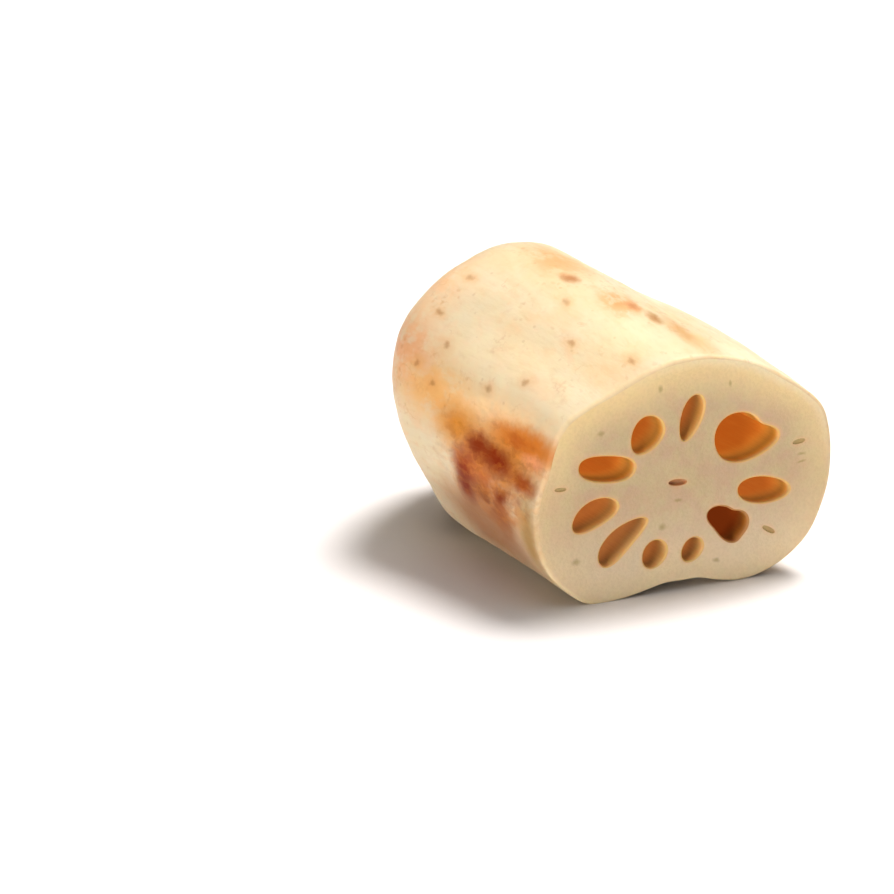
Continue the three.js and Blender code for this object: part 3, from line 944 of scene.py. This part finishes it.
def wallMaterial():
    material, tree, shader = newMaterial("canalWall", wallFinish)
    point = useGroup(tree, "rootPoint")["Point"]
    warmth = attribute(tree, "wallWarmth")
    inner = mixColours(tree, warmth, wallFinish["brown"], wallFinish["orange"])
    streaks = mottle(tree, point, wallFinish["streaks"])
    inner = tint(tree, inner, streaks, wallFinish["streakShare"], wallFinish["golden"])
    depth = attribute(tree, "cutDepth")
    outer = mixColours(tree, warmth, wallFinish["mouth"], wallFinish["golden"])
    colour = mixColours(tree, remap(tree, depth, *wallDepths["outer"]), wallFinish["mouth"], outer)
    sooner = wallFinish["paleSooner"]
    quicker = maths(tree, "SUBTRACT", 1.0 + sooner, maths(tree, "MULTIPLY", warmth, sooner))
    reach = maths(tree, "MULTIPLY", depth, quicker)
    colour = mixColours(tree, remap(tree, reach, *wallDepths["inner"]), colour, inner)
    deeper = remap(tree, depth, *wallDepths["red"], wallFinish["redAtMouth"], 1.0)
    colour = tint(tree, colour, remap(tree, warmth, 1.0, 2.0), deeper, wallFinish["red"])
    slit = mixColours(tree, remap(tree, warmth, -2.0, -1.0), wallFinish["umber"], wallFinish["olive"])
    colour = mixColours(tree, remap(tree, warmth, -1.0, 0.0, 1.0, 0.0), colour, slit)
    # painted shade: the wall's colour darkened towards black deeper in the canal
    paintedShadeShare = remap(tree, depth, *wallDepths["paintedShade"], 0.0, wallFinish["paintedShade"])
    feed(tree, shader.inputs["Base Color"], mixColours(tree, paintedShadeShare, colour, wallFinish["black"]))
    # painted glow: emission that stands in for light through the flesh, growing with depth
    paintedGlowColour = mixColours(tree, remap(tree, depth, *wallDepths["paintedGlow"]), wallFinish["black"], colour)
    feed(tree, shader.inputs["Emission Color"], paintedGlowColour)
    shader.inputs["Emission Strength"].default_value = wallFinish["paintedGlow"]
    shader.inputs["Roughness"].default_value = wallFinish["roughness"]
    addBump(tree, shader, streaks, wallFinish["bump"])
    return material


# Node scar: brown and rayed, like a trimmed joint.
scarFinish = {
    "brown": "#a87852",
    "dark": "#6e4630",
    "pale": "#cfa47a",
    "patches": {"Size": 2.2, "Seed": 1.0},
    "grain": {"Size": 0.8, "Seed": 9.0, "Low": 0.45, "High": 0.7},
    "grainShare": 0.6,
    "roughness": 0.7,
    "bump": {"strength": 0.5, "distance": 0.2},
    "scatter": {"weight": 0.1, "radius": (1.0, 0.5, 0.25), "scale": 1.5},
}


def scarMaterial():
    material, tree, shader = newMaterial("nodeScar", scarFinish)
    point = useGroup(tree, "rootPoint")["Point"]
    patches = mottle(tree, point, scarFinish["patches"])
    colour = mixColours(tree, patches, scarFinish["brown"], scarFinish["pale"])
    grain = mottle(tree, point, scarFinish["grain"])
    colour = tint(tree, colour, grain, scarFinish["grainShare"], scarFinish["dark"])
    feed(tree, shader.inputs["Base Color"], colour)
    shader.inputs["Roughness"].default_value = scarFinish["roughness"]
    addBump(tree, shader, grain, scarFinish["bump"])
    return material


for material in (skinMaterial(), fleshMaterial(), wallMaterial(), scarMaterial()):
    rootBody.data.materials.append(material)
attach(rootBody, "root")
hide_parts("lotus_root_segment")
print("root: materials on,", len(rootBody.data.polygons), "faces")


# Studio: a pale floor, soft light from above, a low one from the front left, and the camera.
studio = {
    "floorColour": "#e6e2e0",
    "floorSize": 8,  # metres
    "floorRoughness": 0.8,
    "floorShine": 0.2,
    "worldStrength": 0.04,
    "suns": [  # angle is how wide, from is the bearing clockwise from +Y and the tilt off the vertical
        {"name": "softKey", "strength": 3.1, "angle": 22, "from": (74, 25)},
        {"name": "softTop", "strength": 1.4, "angle": 85, "from": (95, 14)},
        {"name": "lowFill", "strength": 2.45, "angle": 20, "from": (246, 88)},
    ],
    "cameraPlace": (-0.452797, -0.666019, 0.33071),  # metres
    "cameraTilt": 69,
    "cameraTurn": -32,
    "lens": 150,
    "sensorWidth": 36,
    "clipStart": 0.05,
    "viewGamma": 0.82,
    "viewExposure": 0.18,
}


def buildStudio():
    bm = bmesh.new()
    bmesh.ops.create_grid(bm, x_segments=1, y_segments=1, size=studio["floorSize"] / 2)
    mesh = bpy.data.meshes.new("floor")
    bm.to_mesh(mesh)
    bm.free()
    floor = bpy.data.objects.new("floor", mesh)
    bpy.context.scene.collection.objects.link(floor)
    material = bpy.data.materials.new("paleFloor")
    material.use_nodes = True
    shader = material.node_tree.nodes["Principled BSDF"]
    shader.inputs["Base Color"].default_value = linear(studio["floorColour"])
    shader.inputs["Roughness"].default_value = studio["floorRoughness"]
    shader.inputs["Specular IOR Level"].default_value = studio["floorShine"]
    mesh.materials.append(material)
    world = bpy.data.worlds.new("studio")
    world.use_nodes = True
    background = world.node_tree.nodes["Background"]
    background.inputs["Color"].default_value = linear("#ffffff")
    background.inputs["Strength"].default_value = studio["worldStrength"]
    bpy.context.scene.world = world
    for values in studio["suns"]:
        sun = bpy.data.lights.new(values["name"], "SUN")
        sun.energy = values["strength"]
        sun.angle = math.radians(values["angle"])
        lamp = bpy.data.objects.new(values["name"], sun)
        bearing, tilt = (math.radians(value) for value in values["from"])
        level = math.sin(tilt)
        towards = Vector((math.sin(bearing) * level, math.cos(bearing) * level, math.cos(tilt)))
        lamp.rotation_euler = towards.to_track_quat("Z", "Y").to_euler()
        bpy.context.scene.collection.objects.link(lamp)
    lens = bpy.data.cameras.new("camera")
    lens.lens = studio["lens"]
    lens.sensor_width = studio["sensorWidth"]
    lens.clip_start = studio["clipStart"]
    camera = bpy.data.objects.new("camera", lens)
    camera.location = studio["cameraPlace"]
    camera.rotation_euler = (math.radians(studio["cameraTilt"]), 0, math.radians(studio["cameraTurn"]))
    bpy.context.scene.collection.objects.link(camera)
    bpy.context.scene.camera = camera
    view = bpy.context.scene.view_settings
    view.view_transform = "Standard"
    view.gamma = studio["viewGamma"]
    view.exposure = studio["viewExposure"]


buildStudio()
print("studio: floor, light and camera set")
